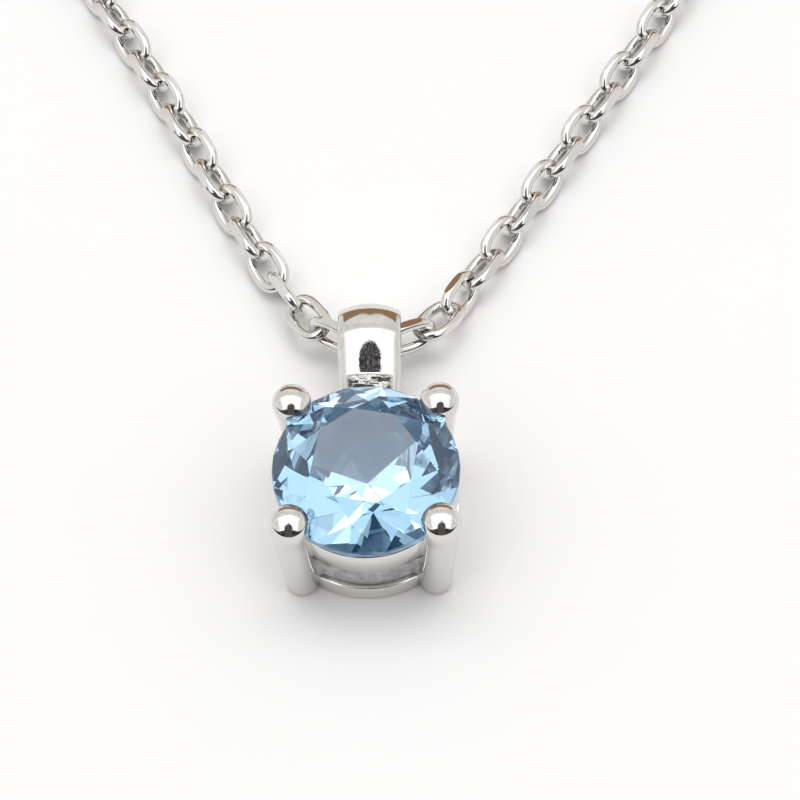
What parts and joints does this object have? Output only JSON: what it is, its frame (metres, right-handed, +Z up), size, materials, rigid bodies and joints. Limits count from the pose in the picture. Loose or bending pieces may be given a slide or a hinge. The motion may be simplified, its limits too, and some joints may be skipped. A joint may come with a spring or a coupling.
{
  "type": "solitaire pendant necklace",
  "caption": "Pendant necklace: a round blue stone in a four-prong setting with a loop bail, on a diamond-cut cable chain with a spring-ring clasp, laid face up and unclasped.",
  "frame": {"origin": "under the middle of the pendant and its separate links, on the surface they lie on", "axes": "+Z is up and along the stone's axis, out of its table; +Y runs from the stone to the bail and the chain; +X is to the right seen face on"},
  "size_m": [0.0432, 0.0459, 0.0045],
  "materials": {
    "silver": "bright rhodium-white polish, faint wear lines",
    "cast_silver": "unpolished cast surface, matt and slightly rough",
    "stone": "faceted clear blue stone, polished"
  },
  "bodies": {
    "pendant": {"stone": "stone", "gallery_upper_rail": "silver", "gallery_wall": "cast_silver", "gallery_lower_rail": "silver", "prong_front_left": "silver", "prong_front_right": "silver", "prong_rear_left": "silver", "prong_rear_right": "silver", "bail": "silver"},
    "centre_link": {"centre_link": "silver"},
    "link_left_01": {"link_left_01": "silver"},
    "link_left_02": {"link_left_02": "silver"},
    "link_left_03": {"link_left_03": "silver"},
    "link_left_04": {"link_left_04": "silver"},
    "link_left_05": {"link_left_05": "silver"},
    "link_left_06": {"link_left_06": "silver"},
    "link_left_07": {"link_left_07": "silver"},
    "link_left_08": {"link_left_08": "silver"},
    "link_left_09": {"link_left_09": "silver"},
    "link_left_10": {"link_left_10": "silver"},
    "link_left_11": {"link_left_11": "silver"},
    "link_left_12": {"link_left_12": "silver"},
    "link_left_13": {"link_left_13": "silver"},
    "link_left_14": {"link_left_14": "silver"},
    "link_left_15": {"link_left_15": "silver"},
    "link_left_16": {"link_left_16": "silver"},
    "chain_rest_left": {"chain_run_left": "silver", "chain_coil_left": "silver", "chain_tail_left": "silver"},
    "link_right_01": {"link_right_01": "silver"},
    "link_right_02": {"link_right_02": "silver"},
    "link_right_03": {"link_right_03": "silver"},
    "link_right_04": {"link_right_04": "silver"},
    "link_right_05": {"link_right_05": "silver"},
    "link_right_06": {"link_right_06": "silver"},
    "link_right_07": {"link_right_07": "silver"},
    "link_right_08": {"link_right_08": "silver"},
    "link_right_09": {"link_right_09": "silver"},
    "link_right_10": {"link_right_10": "silver"},
    "link_right_11": {"link_right_11": "silver"},
    "link_right_12": {"link_right_12": "silver"},
    "link_right_13": {"link_right_13": "silver"},
    "link_right_14": {"link_right_14": "silver"},
    "link_right_15": {"link_right_15": "silver"},
    "link_right_16": {"link_right_16": "silver"},
    "chain_rest_right": {"chain_run_right": "silver", "chain_coil_right": "silver", "chain_tail_right": "silver"},
    "jump_ring": {"jump_ring": "silver"},
    "clasp": {"clasp_body": "silver", "clasp_eye": "silver", "clasp_spring": "silver"},
    "clasp_bolt": {"clasp_bolt": "silver"},
    "end_ring": {"end_ring": "silver"}
  },
  "joints": [
    {"name": "bail_swing", "type": "hinge", "parent": "pendant", "child": "centre_link", "pos_m": [-0.00056, -0.00492, 0.00136], "axis": [1, 0, 0], "range_deg": [0, 45]},
    {"name": "link_left_01_bend", "type": "hinge", "parent": "centre_link", "child": "link_left_01", "pos_m": [-0.00119, -0.00507, 0.00137], "axis": [0, 0, 1], "range_deg": [-15, 15]},
    {"name": "link_left_02_bend", "type": "hinge", "parent": "link_left_01", "child": "link_left_02", "pos_m": [-0.00227, -0.00436, 0.00111], "axis": [0, 0, -1], "range_deg": [-15, 15]},
    {"name": "link_left_03_bend", "type": "hinge", "parent": "link_left_02", "child": "link_left_03", "pos_m": [-0.00304, -0.00326, 0.00081], "axis": [0, 0, 1], "range_deg": [-15, 15]},
    {"name": "link_left_04_bend", "type": "hinge", "parent": "link_left_03", "child": "link_left_04", "pos_m": [-0.00376, -0.00212, 0.00061], "axis": [0, 0, -1], "range_deg": [-15, 15]},
    {"name": "link_left_05_bend", "type": "hinge", "parent": "link_left_04", "child": "link_left_05", "pos_m": [-0.00444, -0.00093, 0.00055], "axis": [0, 0, 1], "range_deg": [-15, 15]},
    {"name": "link_left_06_bend", "type": "hinge", "parent": "link_left_05", "child": "link_left_06", "pos_m": [-0.00509, 0.00027, 0.00053], "axis": [0, 0, -1], "range_deg": [-15, 15]},
    {"name": "link_left_07_bend", "type": "hinge", "parent": "link_left_06", "child": "link_left_07", "pos_m": [-0.00573, 0.00149, 0.00053], "axis": [0, 0, 1], "range_deg": [-15, 15]},
    {"name": "link_left_08_bend", "type": "hinge", "parent": "link_left_07", "child": "link_left_08", "pos_m": [-0.00635, 0.00271, 0.00053], "axis": [0, 0, -1], "range_deg": [-15, 15]},
    {"name": "link_left_09_bend", "type": "hinge", "parent": "link_left_08", "child": "link_left_09", "pos_m": [-0.00698, 0.00393, 0.00053], "axis": [0, 0, 1], "range_deg": [-15, 15]},
    {"name": "link_left_10_bend", "type": "hinge", "parent": "link_left_09", "child": "link_left_10", "pos_m": [-0.00762, 0.00514, 0.00053], "axis": [0, 0, -1], "range_deg": [-15, 15]},
    {"name": "link_left_11_bend", "type": "hinge", "parent": "link_left_10", "child": "link_left_11", "pos_m": [-0.00826, 0.00634, 0.00053], "axis": [0, 0, 1], "range_deg": [-15, 15]},
    {"name": "link_left_12_bend", "type": "hinge", "parent": "link_left_11", "child": "link_left_12", "pos_m": [-0.00893, 0.00754, 0.00053], "axis": [0, 0, -1], "range_deg": [-15, 15]},
    {"name": "link_left_13_bend", "type": "hinge", "parent": "link_left_12", "child": "link_left_13", "pos_m": [-0.00961, 0.00873, 0.00053], "axis": [0, 0, 1], "range_deg": [-15, 15]},
    {"name": "link_left_14_bend", "type": "hinge", "parent": "link_left_13", "child": "link_left_14", "pos_m": [-0.01031, 0.00991, 0.00053], "axis": [0, 0, -1], "range_deg": [-15, 15]},
    {"name": "link_left_15_bend", "type": "hinge", "parent": "link_left_14", "child": "link_left_15", "pos_m": [-0.01097, 0.01111, 0.00053], "axis": [0, 0, 1], "range_deg": [-15, 15]},
    {"name": "link_left_16_bend", "type": "hinge", "parent": "link_left_15", "child": "link_left_16", "pos_m": [-0.01159, 0.01233, 0.00054], "axis": [0, 0, -1], "range_deg": [-15, 15]},
    {"name": "chain_rest_left_bend", "type": "hinge", "parent": "link_left_16", "child": "chain_rest_left", "pos_m": [-0.01227, 0.01352, 0.00057], "axis": [0, 0, 1], "range_deg": [-15, 15]},
    {"name": "link_right_01_bend", "type": "hinge", "parent": "centre_link", "child": "link_right_01", "pos_m": [0.00017, -0.00507, 0.00137], "axis": [0, 0, 1], "range_deg": [-15, 15]},
    {"name": "link_right_02_bend", "type": "hinge", "parent": "link_right_01", "child": "link_right_02", "pos_m": [0.00136, -0.0045, 0.00112], "axis": [0, 0, -1], "range_deg": [-15, 15]},
    {"name": "link_right_03_bend", "type": "hinge", "parent": "link_right_02", "child": "link_right_03", "pos_m": [0.00218, -0.00347, 0.00081], "axis": [0, 0, 1], "range_deg": [-15, 15]},
    {"name": "link_right_04_bend", "type": "hinge", "parent": "link_right_03", "child": "link_right_04", "pos_m": [0.00289, -0.00231, 0.00061], "axis": [0, 0, -1], "range_deg": [-15, 15]},
    {"name": "link_right_05_bend", "type": "hinge", "parent": "link_right_04", "child": "link_right_05", "pos_m": [0.00364, -0.00117, 0.00054], "axis": [0, 0, 1], "range_deg": [-15, 15]},
    {"name": "link_right_06_bend", "type": "hinge", "parent": "link_right_05", "child": "link_right_06", "pos_m": [0.00438, -0.00002, 0.00053], "axis": [0, 0, -1], "range_deg": [-15, 15]},
    {"name": "link_right_07_bend", "type": "hinge", "parent": "link_right_06", "child": "link_right_07", "pos_m": [0.0051, 0.00114, 0.00053], "axis": [0, 0, 1], "range_deg": [-15, 15]},
    {"name": "link_right_08_bend", "type": "hinge", "parent": "link_right_07", "child": "link_right_08", "pos_m": [0.00584, 0.0023, 0.00053], "axis": [0, 0, -1], "range_deg": [-15, 15]},
    {"name": "link_right_09_bend", "type": "hinge", "parent": "link_right_08", "child": "link_right_09", "pos_m": [0.00658, 0.00345, 0.00053], "axis": [0, 0, 1], "range_deg": [-15, 15]},
    {"name": "link_right_10_bend", "type": "hinge", "parent": "link_right_09", "child": "link_right_10", "pos_m": [0.00731, 0.00461, 0.00053], "axis": [0, 0, -1], "range_deg": [-15, 15]},
    {"name": "link_right_11_bend", "type": "hinge", "parent": "link_right_10", "child": "link_right_11", "pos_m": [0.00804, 0.00577, 0.00053], "axis": [0, 0, 1], "range_deg": [-15, 15]},
    {"name": "link_right_12_bend", "type": "hinge", "parent": "link_right_11", "child": "link_right_12", "pos_m": [0.00876, 0.00694, 0.00053], "axis": [0, 0, -1], "range_deg": [-15, 15]},
    {"name": "link_right_13_bend", "type": "hinge", "parent": "link_right_12", "child": "link_right_13", "pos_m": [0.00948, 0.0081, 0.00053], "axis": [0, 0, 1], "range_deg": [-15, 15]},
    {"name": "link_right_14_bend", "type": "hinge", "parent": "link_right_13", "child": "link_right_14", "pos_m": [0.01018, 0.00928, 0.00053], "axis": [0, 0, -1], "range_deg": [-15, 15]},
    {"name": "link_right_15_bend", "type": "hinge", "parent": "link_right_14", "child": "link_right_15", "pos_m": [0.01086, 0.01047, 0.00054], "axis": [0, 0, 1], "range_deg": [-15, 15]},
    {"name": "link_right_16_bend", "type": "hinge", "parent": "link_right_15", "child": "link_right_16", "pos_m": [0.01155, 0.01165, 0.00054], "axis": [0, 0, -1], "range_deg": [-15, 15]},
    {"name": "chain_rest_right_bend", "type": "hinge", "parent": "link_right_16", "child": "chain_rest_right", "pos_m": [0.01229, 0.01281, 0.00057], "axis": [0, 0, 1], "range_deg": [-15, 15]},
    {"name": "jump_ring_swing", "type": "hinge", "parent": "chain_rest_left", "child": "jump_ring", "pos_m": [-0.0105, 0.02497, 0.00067], "axis": [0, 0, 1], "range_deg": [-20, 20]},
    {"name": "clasp_swivel", "type": "hinge", "parent": "jump_ring", "child": "clasp", "pos_m": [-0.01226, 0.02395, 0.00067], "axis": [0, 0, -1], "range_deg": [-20, 20]},
    {"name": "clasp_bolt_slide", "type": "hinge", "parent": "clasp", "child": "clasp_bolt", "pos_m": [-0.01541, 0.02213, 0.00067], "axis": [0, 0, -1], "range_deg": [0, 58], "stiffness_Nm_per_rad": 0.00005},
    {"name": "end_ring_swing", "type": "hinge", "parent": "chain_rest_right", "child": "end_ring", "pos_m": [0.01027, 0.02407, 0.00064], "axis": [0, 0, 1], "range_deg": [-15, 15]}
  ]
}
